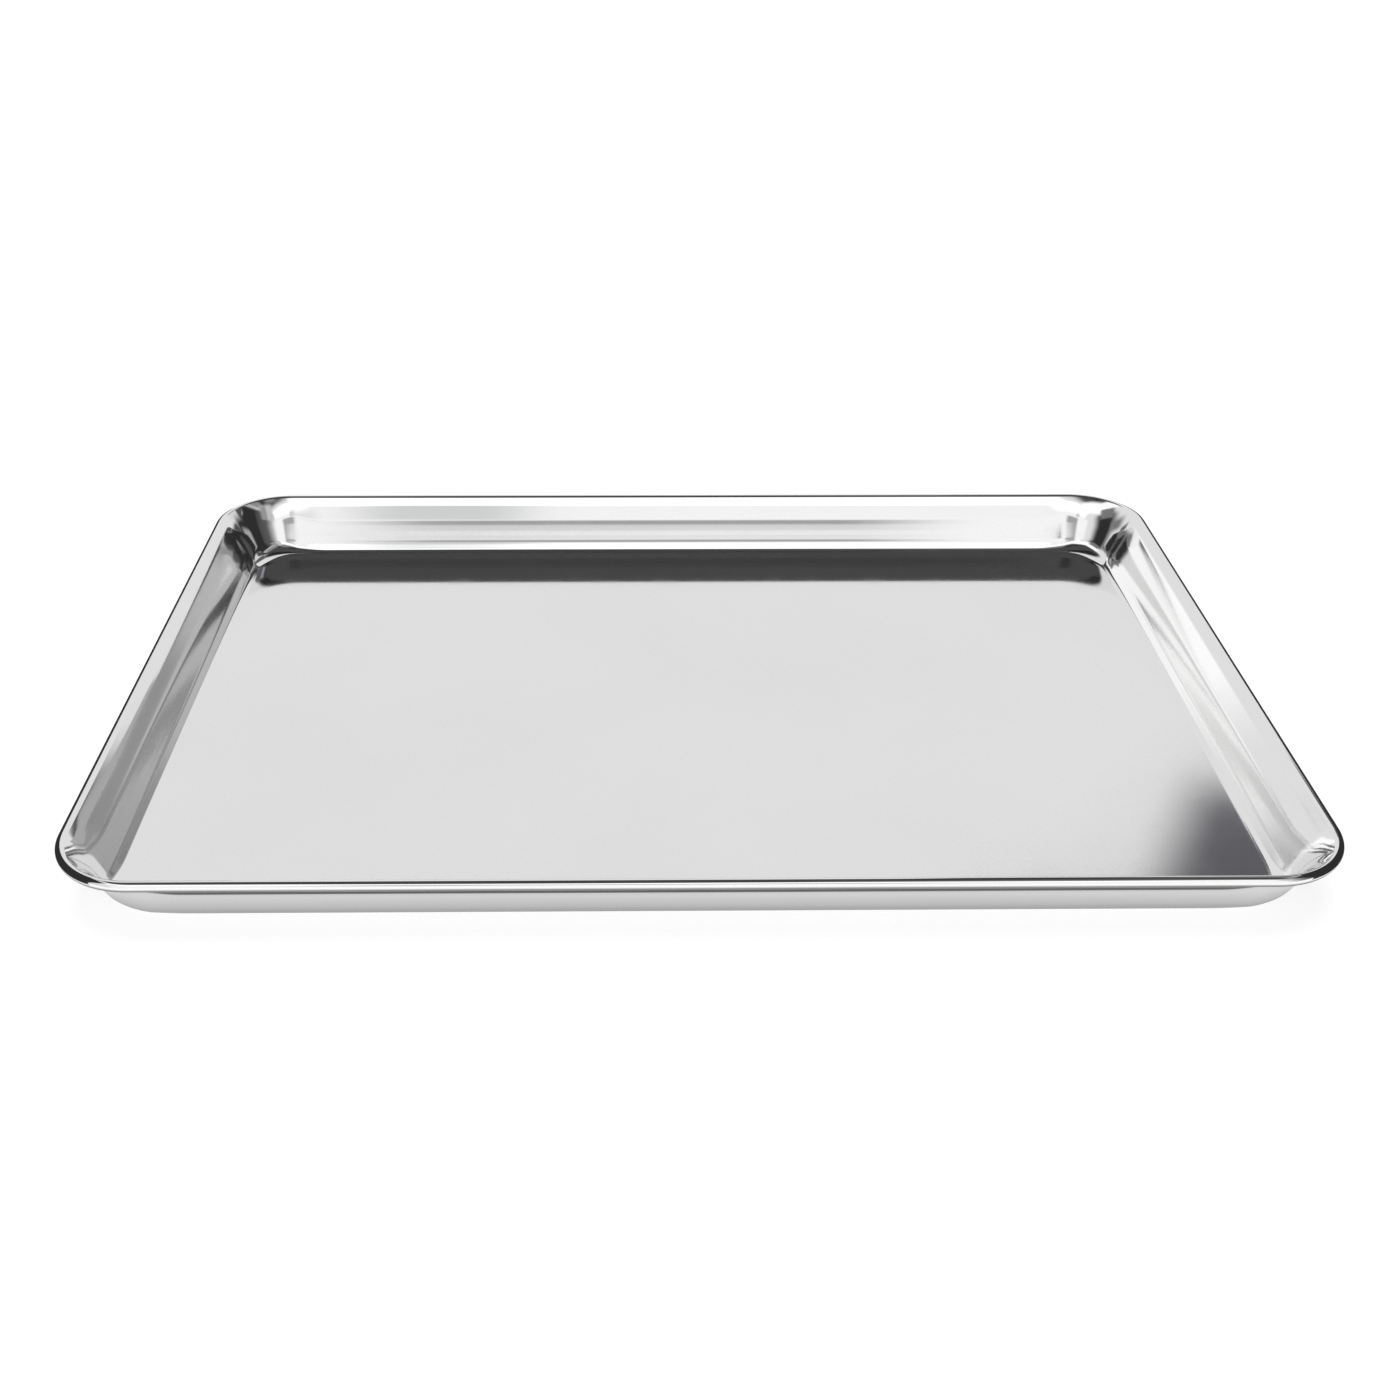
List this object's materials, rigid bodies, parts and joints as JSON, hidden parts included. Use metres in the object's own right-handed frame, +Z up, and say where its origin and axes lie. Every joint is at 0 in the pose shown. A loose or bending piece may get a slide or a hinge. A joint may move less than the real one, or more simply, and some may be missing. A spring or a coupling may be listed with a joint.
{
  "type": "jelly roll pan",
  "caption": "Shallow rectangular baking pan with sloping walls, rounded corners and a wired, rolled rim, for sheet cakes and cookies.",
  "frame": {"origin": "centre of the pan's outline on the plane that its underside rests on", "axes": "+X along the pan's length, +Y across its width towards the back, +Z up out of the open side"},
  "size_m": [0.4572, 0.3302, 0.0254],
  "materials": {
    "pan_aluminium": "bright drawn aluminium, satin on the floor, polished on the walls and rim",
    "galvanised_wire": "dull zinc"
  },
  "bodies": {
    "root": {"pan_body": "pan_aluminium", "rim_wire": "galvanised_wire"}
  },
  "joints": []
}
